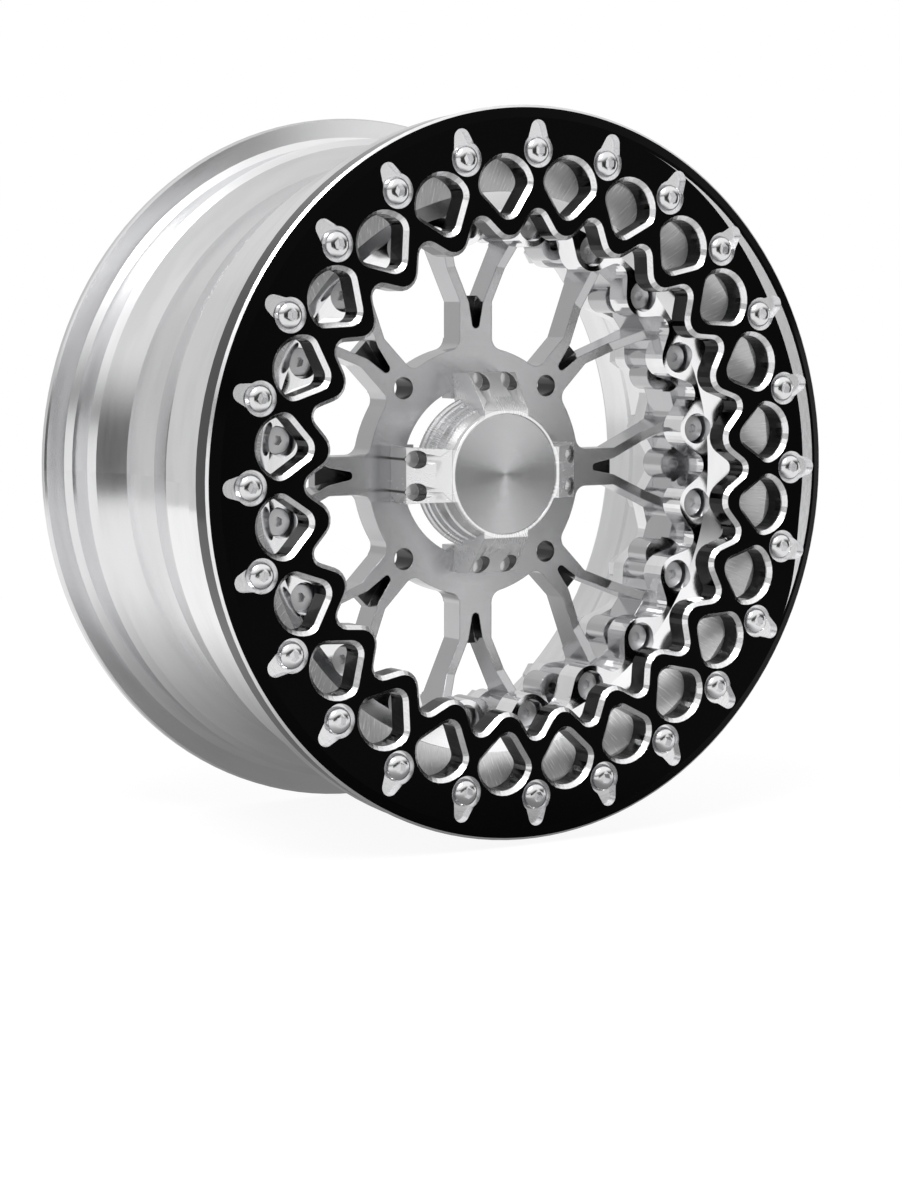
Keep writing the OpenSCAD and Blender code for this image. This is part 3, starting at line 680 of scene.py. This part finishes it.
@dataclass(frozen=True)
class CapFinish(Finish):
    """Satin aluminium on the cap's tower, with a painted highlight: a near-white line round the
    disc.
    """

    # the painted highlight: a near-white, mostly matt line round the disc's edge
    rim: tuple[float, float] = (0.0346, 0.0364)
    rim_front: float = -0.0471
    rim_highlight_metallic: float = 0.25
    legs: int = 4
    pocket_along: float = 0.0520
    pocket_aside: float = 0.0092
    pocket_reach: float = 0.00525
    # how dark the painted shade on the pockets' walls is
    pocket_painted_shade: float = 0.93

    def dress(self, graph: Graph, at: Surface, shader: bpy.types.Node) -> None:
        """Adds soft clouds, fine marks along the legs, a painted highlight line round the disc and
        painted shade in the pockets.
        """
        cloud = at.noise(45.0, detail=2.0)
        grain = at.noise(1800.0, detail=3.0)
        marks = at.turned_noise(40.0, 60.0, 300.0)
        # painted highlight: a near-white line round the disc, where the rim's edge catches light
        rim = at.radius.between(*self.rim, 0.0002) * at.y.below(self.rim_front, 0.0002)
        tone = self.clouded(graph, cloud, (0.3, 0.7), 0.95)
        # painted shade on the upright walls of the legs' screw pockets
        tone = mixed(graph, self.painted_pocket_shade(at), tone, 0.06)
        self.link(graph, shader, "Base Color", mixed(graph, rim, tone, 0.93))
        metallic = self.metallic - rim * (self.metallic - self.rim_highlight_metallic)
        self.link(graph, shader, "Metallic", metallic)
        rough = self.rough + (cloud - 0.5) * 0.08 + (marks - 0.5) * 0.08
        self.link(graph, shader, "Roughness", rough)
        self.bump(graph, shader, grain * 0.0000015 + marks * 0.000004)

    def painted_pocket_shade(self, at: Surface) -> Term:
        """The painted shade on the upright walls of the legs' screw pockets: how dark they are, 0
        elsewhere.
        """
        fold = at.folded(self.legs)
        out = at.radius * fold.do(Op.COSINE, fold) - self.pocket_along
        aside = abs(at.radius * fold.do(Op.SINE, fold)) - self.pocket_aside
        near = ((out * out + aside * aside) ** 0.5).below(self.pocket_reach, 0.0001)
        return near * at.facing().ramp(0.2, 0.4, 1.0, 0.0) * self.pocket_painted_shade


@dataclass(frozen=True)
class RubberFinish(Finish):
    """Matt black rubber."""

    def dress(self, graph: Graph, at: Surface, shader: bpy.types.Node) -> None:
        """Adds a fine matt grain."""
        grain = at.noise(2500.0, detail=4.0)
        self.link(graph, shader, "Roughness", self.rough + (grain - 0.5) * 0.2)
        self.bump(graph, shader, grain, 0.15, 0.0003)


@dataclass
class Finishes:
    """Every finish of the wheel, made once."""

    ring: Finish = RingFinish(
        "ring_gloss_black", 0.0, 0.12, (0.0018, 0.0018, 0.0018), specular=0.02
    )
    front_barrel: Finish = FlangeFinish("front_barrel_polish", 1.0, 0.10, (0.88, 0.88, 0.89))
    rear_barrel: Finish = TurnedFinish("rear_barrel_polish", 1.0, 0.2, (0.80, 0.80, 0.81))
    centre: Finish = BrushedFinish("centre_brushed", 1.0, 0.18, (0.52, 0.52, 0.53), edge=0.0007)
    cap: Finish = CapFinish("cap_satin", 0.6, 0.26, (0.86, 0.86, 0.87), edge=0.0005)
    disc: Finish = BrushedFinish(
        "cap_disc_brushed", 1.0, 0.20, (0.60, 0.60, 0.61), hole_painted_shade=0.0, dish=-3.0
    )
    chrome: Finish = Finish("screw_chrome", 1.0, 0.17, (0.74, 0.74, 0.75))
    steel: Finish = Finish("bolt_steel", 1.0, 0.45, (0.80, 0.80, 0.81))
    brass: Finish = Finish("brass", 1.0, 0.3, (0.72, 0.52, 0.24))
    rubber: Finish = RubberFinish("rubber_black", 0.0, 0.7, (0.02, 0.02, 0.02))
    plastic: Finish = RubberFinish("valve_cap_plastic", 0.0, 0.45, (0.015, 0.015, 0.015))


@dataclass
class Dressing:
    """Gives the CAD nodes whose shape stays their finishes."""

    finishes: Finishes
    made: dict[str, bpy.types.Material] = field(default_factory=dict)

    def material(self, finish: Finish) -> bpy.types.Material:
        """The finish's material, made at its first use."""
        if finish.name not in self.made:
            self.made[finish.name] = finish.material()
        return self.made[finish.name]

    def paint(self, node: str, finish: Finish) -> None:
        """Puts a finish on a CAD node."""
        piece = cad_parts[node]
        piece.data.materials.clear()
        piece.data.materials.append(self.material(finish))
        log.info("%s carries %s", node, finish.name)

    def paint_all(self) -> None:
        """Dresses every CAD node whose shape stays."""
        finishes = self.finishes
        for node, finish in {
            "beadlock_ring": finishes.ring,
            "ring_inserts": finishes.steel,
            "front_barrel": finishes.front_barrel,
            "rear_barrel": finishes.rear_barrel,
            "barrel_seal": finishes.rubber,
            "wheel_centre": finishes.centre,
            "assembly_washers": finishes.steel,
            "assembly_nuts": finishes.steel,
            "cap_disc": finishes.disc,
            "cap_seal": finishes.rubber,
            "cap_screws": finishes.chrome,
            "valve_stem": finishes.brass,
            "valve_grommet": finishes.rubber,
            "valve_washer": finishes.steel,
            "valve_nut": finishes.chrome,
            "valve_core": finishes.brass,
            "valve_cap": finishes.plastic,
        }.items():
            self.paint(node, finish)


@dataclass
class Studio:
    """The camera, the pale floor and the soft light.

    Bearings are in degrees, 0 towards -Y and positive towards +X; card_z and dark_to are heights
    of a direction of length 1.
    """

    lens: float = 84.124
    spot: tuple[float, float, float] = (-0.8663, -1.3779, 0.0960)
    right: tuple[float, float, float] = (0.84828, -0.52954, 0.0)
    forward: tuple[float, float, float] = (0.52661, 0.84358, -0.10516)
    floor_z: float = -0.2080
    dark: float = 0.03
    dark_to: tuple[float, float] = (0.10, 0.50)
    behind: float = 0.65
    above: float = 1.1
    above_behind: float = 0.75
    strip: tuple[float, float] = (27.5, 39.0)
    strip_level: float = 1.1
    card: tuple[float, float] = (-85.0, -20.0)
    side: tuple[float, float] = (66.0, 125.0)
    card_z: tuple[float, float] = (-0.35, 0.15)
    plain: float = 0.7
    floor_half: float = 1.3
    floor_white: float = 1.06
    floor_share: float = 0.86
    # the painted shadow that reflections see on the floor: where it fades out, and how dark it is
    floor_near: tuple[float, float] = (0.10, 0.40)
    floor_painted_shadow: float = 0.25
    key_spot: tuple[float, float, float] = (-1.2, -1.2, 2.4)
    key_size: float = 1.2
    key_power: float = 50.0

    def camera(self) -> None:
        """Sets the camera where the photograph was taken."""
        data = bpy.data.cameras.new("photo_camera")
        data.lens = self.lens
        data.sensor_width = 36.0
        data.clip_start, data.clip_end = 0.05, 50.0
        camera = bpy.data.objects.new("photo_camera", data)
        right, forward = Vector(self.right), Vector(self.forward)
        up = right.cross(forward).normalized()
        turn = Matrix((right, up, -forward)).transposed().to_4x4()
        camera.matrix_world = Matrix.Translation(self.spot) @ turn
        bpy.context.scene.collection.objects.link(camera)
        bpy.context.scene.camera = camera

    def world(self) -> None:
        """White to the camera, soft panels to the metal and plain light to the rest."""
        world = bpy.data.worlds.new("studio")
        world.use_nodes = True
        world.node_tree.nodes.clear()
        bpy.context.scene.world = world
        graph = Graph(world.node_tree)
        path = graph.node("ShaderNodeLightPath")
        seen = graph.term(path.outputs["Is Camera Ray"])
        metal = graph.term(path.outputs["Is Glossy Ray"]).at_least(
            graph.term(path.outputs["Is Transmission Ray"])
        )
        coords = graph.node("ShaderNodeTexCoord")
        parts = graph.node("ShaderNodeSeparateXYZ", {0: coords.outputs["Generated"]})
        x, y, z = (graph.term(o) for o in parts.outputs)
        bearing = x.do(Op.ARCTAN2, x, -y)
        above = z.ramp(*self.dark_to) * y.ramp(-0.2, 0.3, self.above, self.above_behind)
        behind = y.ramp(0.0, 0.4) * self.behind
        studio = above.at_least(behind)
        for panel in (self.card, self.side):
            left, right = (math.radians(b) for b in panel)
            lit = bearing.between(left, right, 0.10) * z.between(*self.card_z, 0.08)
            studio = studio.at_least(lit)
        left, right = (math.radians(b) for b in self.strip)
        strip = bearing.between(left, right, math.radians(3.0)) * self.strip_level
        studio = studio.at_least(strip).at_least(self.dark)
        level = seen + (1.0 - seen) * (metal * studio + (1.0 - metal) * self.plain)
        glow = graph.node("ShaderNodeBackground", {"Color": rgba(1.0), "Strength": level})
        graph.node("ShaderNodeOutputWorld", {0: glow.outputs[0]})

    def floor(self) -> None:
        """A plain pale floor that stays white to the camera and keeps the wheel's shadow; to
        reflections it glows, with a painted shadow near the wheel.
        """
        mesh = bpy.data.meshes.new("floor")
        half, z = self.floor_half, self.floor_z
        corners = [(-half, -half, z), (half, -half, z), (half, half, z), (-half, half, z)]
        mesh.from_pydata(corners, [], [(0, 1, 2, 3)])
        floor = bpy.data.objects.new("floor", mesh)
        bpy.context.scene.collection.objects.link(floor)
        made = bpy.data.materials.new("floor_white")
        made.use_nodes = True
        made.node_tree.nodes.clear()
        graph = Graph(made.node_tree)
        path = graph.node("ShaderNodeLightPath")
        seen = graph.term(path.outputs["Is Camera Ray"])
        mirrored = graph.term(path.outputs["Is Glossy Ray"]).at_least(
            graph.term(path.outputs["Is Transmission Ray"])
        )
        under = Surface(graph)
        away = (under.x * under.x + under.y * under.y) ** 0.5
        # painted shadow: the floor's glow, as reflections see it, is darker near the wheel
        shaded = away.ramp(*self.floor_near, self.floor_painted_shadow, 1.0)
        level = seen * self.floor_white + (1.0 - seen) * shaded
        matt = graph.node("ShaderNodeBsdfDiffuse", {"Color": rgba(0.85)})
        glow = graph.node("ShaderNodeEmission", {"Color": rgba(1.0), "Strength": level})
        both = graph.node(
            "ShaderNodeMixShader",
            {
                0: (seen * self.floor_share).at_least(mirrored),
                1: matt.outputs[0],
                2: glow.outputs[0],
            },
        )
        graph.node("ShaderNodeOutputMaterial", {"Surface": both.outputs[0]})
        mesh.materials.append(made)

    def lamp(self) -> None:
        """Adds the soft square lamp that looks at the wheel."""
        data = bpy.data.lights.new("key", "AREA")
        data.shape = "SQUARE"
        data.size = self.key_size
        data.energy = self.key_power
        lamp = bpy.data.objects.new("key", data)
        lamp.location = self.key_spot
        lamp.rotation_mode = "QUATERNION"
        lamp.rotation_quaternion = (-Vector(self.key_spot)).to_track_quat("-Z", "Y")
        bpy.context.scene.collection.objects.link(lamp)

    def build(self) -> None:
        """Makes the camera, the light and the floor."""
        self.camera()
        self.world()
        self.floor()
        self.lamp()
        bpy.context.scene.view_settings.view_transform = "Standard"


@dataclass
class Fasteners:
    """A set of like socket screws round the axle, made with Geometry Nodes.

    Lengths are in millimetres, apart from the chamfer, and the first screw's angle in degrees. A
    head stands on its seat; edge_h is its straight side and top_r is where its dome ends.
    """

    node: str
    finish: Finish
    slot: str
    count: int
    circle: float
    seat: float
    head_r: float
    head_h: float
    edge_h: float
    top_r: float
    shank_r: float
    length: float
    socket: float
    socket_depth: float
    first: float = 0.0
    chamfer: float = 0.0004
    dome_steps: int = 8
    sides: int = 36
    seed: int = 3

    def sizes(self) -> dict[str, float]:
        """The tree's inputs by name, in metres and radians."""
        return {
            "Count": self.count,
            "Circle": self.circle * MM,
            "First": math.radians(self.first),
            "Seat": self.seat * MM,
            "Head radius": self.head_r * MM,
            "Head height": self.head_h * MM,
            "Edge height": self.edge_h * MM,
            "Top radius": self.top_r * MM,
            "Shank radius": self.shank_r * MM,
            "Length": self.length * MM,
            "Socket": self.socket * MM,
            "Socket depth": self.socket_depth * MM,
            "Chamfer": self.chamfer,
            "Seed": self.seed,
        }

    def outline(self, graph: Graph, size: Mapping[str, Term]) -> list[bpy.types.NodeSocket]:
        """The points of the screw's half section, from its tip to the middle of its head.

        Args:
            graph: the tree's graph.
            size: the tree's inputs.

        Returns:
            Each point's socket, kept clear of the axis that the section turns round.
        """
        head, shank, cut = size["Head radius"], size["Shank radius"], size["Chamfer"]
        edge, zero, tip = size["Edge height"], head * 0.0, -size["Length"]
        points = [
            (zero, tip),
            (shank - cut * 2.0, tip),
            (shank, tip + cut * 2.0),
            (shank, zero),
            (head - cut * 0.6, zero),
            (head, cut * 0.6),
            (head, edge - cut),
        ]
        rise, run = size["Head height"] - edge, head - size["Top radius"]
        for step in range(self.dome_steps + 1):
            lean = math.radians(90.0 * step / self.dome_steps)
            across = head - run * (1.0 - math.cos(lean)) - cut * 0.5
            points.append((across, edge + rise * math.sin(lean)))
        points.append((zero, size["Head height"]))
        return [
            graph.node("ShaderNodeCombineXYZ", {0: across - head, 1: -up}).outputs[0]
            for across, up in points
        ]

    def screw(self, graph: Graph, size: Mapping[str, Term]) -> bpy.types.NodeSocket:
        """Turns the outline round and cuts the hexagon socket.

        Args:
            graph: the tree's graph.
            size: the tree's inputs.

        Returns:
            One screw that stands on the origin, its head upwards.
        """
        outline = self.outline(graph, size)
        line = graph.node(
            "GeometryNodeMeshLine", {"Count": len(outline), "Offset": (0.001, 0.0, 0.0)}
        )
        number = graph.node("GeometryNodeInputIndex")
        switch = graph.node("GeometryNodeIndexSwitch", data_type="VECTOR")
        while len(switch.index_switch_items) < len(outline):
            switch.index_switch_items.new()
        for index, source in enumerate([number.outputs[0], *outline]):
            graph.tree.links.new(source, switch.inputs[index])
        placed = graph.node(
            "GeometryNodeSetPosition", {"Geometry": line.outputs[0], "Position": switch.outputs[0]}
        )
        profile = graph.node("GeometryNodeMeshToCurve", {0: placed.outputs[0]})
        path = graph.node(
            "GeometryNodeCurvePrimitiveCircle",
            {"Resolution": self.sides, "Radius": size["Head radius"]},
        )
        level = graph.node("GeometryNodeSetCurveNormal", {"Curve": path.outputs[0]}, mode="Z_UP")
        body = graph.node(
            "GeometryNodeCurveToMesh",
            {"Curve": level.outputs[0], "Profile Curve": profile.outputs[0]},
        )
        closed = graph.node(
            "GeometryNodeMergeByDistance", {"Geometry": body.outputs[0], "Distance": 0.000002}
        )
        corner = size["Socket"] / math.sqrt(3.0)
        prism = graph.node(
            "GeometryNodeMeshCylinder",
            {"Vertices": 6, "Radius": corner, "Depth": size["Socket depth"] * 2.0},
        )
        top = graph.node("ShaderNodeCombineXYZ", {2: size["Head height"]})
        lifted = graph.node(
            "GeometryNodeTransform", {"Geometry": prism.outputs[0], "Translation": top.outputs[0]}
        )
        cut_out = graph.node("GeometryNodeMeshBoolean", operation="DIFFERENCE", solver="EXACT")
        graph.tree.links.new(closed.outputs[0], cut_out.inputs[0])
        graph.tree.links.new(lifted.outputs[0], cut_out.inputs[1])
        return cut_out.outputs[0]

    def round_axle(
        self, graph: Graph, size: Mapping[str, Term], screw: bpy.types.NodeSocket
    ) -> bpy.types.NodeSocket:
        """Sets the screw at every place of its circle, each turned by its own angle.

        Args:
            graph: the tree's graph.
            size: the tree's inputs.
            screw: one screw.

        Returns:
            The real geometry of the set, with its heads towards the wheel's face.
        """
        ring = graph.node(
            "GeometryNodeMeshLine", {"Count": size["Count"], "Offset": (0.0, 0.0, 0.0)}
        )
        which = graph.term(graph.node("GeometryNodeInputIndex").outputs[0])
        turn = size["First"] + which * (math.tau / size["Count"])
        spot = graph.node(
            "ShaderNodeCombineXYZ",
            {
                0: turn.do(Op.COSINE, turn) * size["Circle"],
                1: turn.do(Op.SINE, turn) * size["Circle"],
                2: size["Seat"],
            },
        )
        places = graph.node(
            "GeometryNodeSetPosition", {"Geometry": ring.outputs[0], "Position": spot.outputs[0]}
        )
        spin = graph.node("FunctionNodeRandomValue", {"Seed": size["Seed"]}, data_type="FLOAT")
        spun = graph.node("ShaderNodeCombineXYZ", {2: graph.term(spin.outputs[1]) * math.tau})
        many = graph.node(
            "GeometryNodeInstanceOnPoints",
            {"Points": places.outputs[0], "Instance": screw, "Rotation": spun.outputs[0]},
        )
        real = graph.node("GeometryNodeRealizeInstances", {0: many.outputs[0]})
        turned = graph.node(
            "GeometryNodeTransform",
            {"Geometry": real.outputs[0], "Rotation": (math.pi / 2, 0.0, 0.0)},
        )
        return turned.outputs[0]

    def tree(self, material: bpy.types.Material) -> bpy.types.NodeTree:
        """Writes the node tree.

        Args:
            material: the fasteners' material.

        Returns:
            The tree, whose inputs are named for the sizes.
        """
        tree = bpy.data.node_groups.new(self.node, "GeometryNodeTree")
        tree.interface.new_socket("Geometry", in_out="OUTPUT", socket_type="NodeSocketGeometry")
        for name in self.sizes():
            kind = "NodeSocketInt" if name in ("Count", "Seed") else "NodeSocketFloat"
            tree.interface.new_socket(name, in_out="INPUT", socket_type=kind)
        graph = Graph(tree)
        given = graph.node("NodeGroupInput")
        size = {name: graph.term(given.outputs[name]) for name in self.sizes()}
        real = self.round_axle(graph, size, self.screw(graph, size))
        dressed = graph.node(
            "GeometryNodeSetMaterial", {"Geometry": real, "Material": material}
        )
        graph.node("NodeGroupOutput", {0: dressed.outputs[0]})
        return tree

    def build(self, dressing: Dressing) -> bpy.types.Object:
        """Makes the set in place of its CAD node.

        Args:
            dressing: where materials come from.

        Returns:
            The finished piece.
        """
        tree = self.tree(dressing.material(self.finish))
        carrier_name = self.node + "_carrier"
        carrier = bpy.data.objects.new(carrier_name, bpy.data.meshes.new(carrier_name))
        bpy.context.scene.collection.objects.link(carrier)
        modifier = carrier.modifiers.new("nodes", "NODES")
        modifier.node_group = tree
        ids = {s.name: s.identifier for s in tree.interface.items_tree if s.in_out == "INPUT"}
        for name, value in self.sizes().items():
            modifier[ids[name]] = value
        evaluated = carrier.evaluated_get(bpy.context.evaluated_depsgraph_get())
        mesh = bpy.data.meshes.new_from_object(evaluated)
        carrier.modifiers.remove(modifier)
        bpy.data.objects.remove(carrier)
        return finished(self.node + "_set", mesh, (self.node,))


def finished(
    name: str, mesh: bpy.types.Mesh, nodes: tuple[str, ...] = (), angle: float = 32.0
) -> bpy.types.Object:
    """Turns a mesh into a piece of the wheel.

    Args:
        name: the piece's name.
        mesh: its mesh, in place.
        nodes: the CAD nodes that it replaces.
        angle: the angle above which an edge stays sharp.

    Returns:
        The piece.
    """
    mesh.name = name
    mesh.shade_smooth()
    mesh.set_sharp_from_angle(angle=math.radians(angle))
    piece = bpy.data.objects.new(name, mesh)
    bpy.context.scene.collection.objects.link(piece)
    if nodes:
        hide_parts(*nodes)
    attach(piece, ROOT)
    log.info("%s: %d faces", name, len(mesh.polygons))
    return piece


@dataclass
class CapTower:
    """The cap's tower, whose legs end in an upright wall, so many millimetres from the axle."""

    node: str = "cap_tower"
    slot: str = "cap"
    leg_end: float = 57.2
    legs: int = 4
    smooth_to: float = 24.0

    def build(self, dressing: Dressing) -> bpy.types.Object:
        """Makes the tower from a merged copy of its CAD node.

        Args:
            dressing: where materials come from.

        Returns:
            The finished piece.
        """
        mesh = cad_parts[self.node].data.copy()
        work = bmesh.new()
        work.from_mesh(mesh)
        bmesh.ops.remove_doubles(work, verts=work.verts, dist=0.000001)
        for leg in range(self.legs):
            turn = math.tau * leg / self.legs
            out = Vector((math.cos(turn), 0.0, math.sin(turn)))
            cut = bmesh.ops.bisect_plane(
                work,
                geom=[*work.verts, *work.edges, *work.faces],
                dist=0.0000005,
                plane_co=out * self.leg_end * MM,
                plane_no=out,
                clear_outer=True,
            )
            edges = [e for e in cut["geom_cut"] if isinstance(e, bmesh.types.BMEdge)]
            rim = [e for e in edges if e.is_boundary]
            bmesh.ops.triangle_fill(work, edges=rim, use_beauty=True, normal=out)
        bmesh.ops.recalc_face_normals(work, faces=work.faces)
        work.to_mesh(mesh)
        work.free()
        imported = mesh.attributes.get("custom_normal")
        if imported is not None:
            mesh.attributes.remove(imported)
        mesh.materials.clear()
        mesh.materials.append(dressing.material(dressing.finishes.cap))
        return finished(self.node + "_legs", mesh, (self.node,), self.smooth_to)


def main() -> None:
    """Builds the studio and dresses the wheel, piece by piece."""
    logging.basicConfig(level=logging.INFO, format="%(name)s %(message)s")
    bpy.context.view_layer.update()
    Studio().build()
    finishes = Finishes()
    dressing = Dressing(finishes)
    dressing.paint_all()
    CapTower().build(dressing)
    Fasteners(
        "ring_screws",
        finishes.chrome,
        "bright_screws",
        count=24,
        circle=179.8,
        seat=79.0,
        head_r=7.7,
        head_h=5.2,
        edge_h=1.2,
        top_r=2.9,
        shank_r=4.0,
        length=27.0,
        socket=5.4,
        socket_depth=2.6,
    ).build(dressing)
    Fasteners(
        "assembly_bolts",
        finishes.steel,
        "steel",
        count=20,
        circle=141.75,
        seat=32.5,
        head_r=7.85,
        head_h=5.0,
        edge_h=4.4,
        top_r=7.2,
        shank_r=4.0,
        length=52.6,
        socket=5.0,
        socket_depth=2.5,
        first=9.0,
    ).build(dressing)


if __name__ == "__main__":
    main()
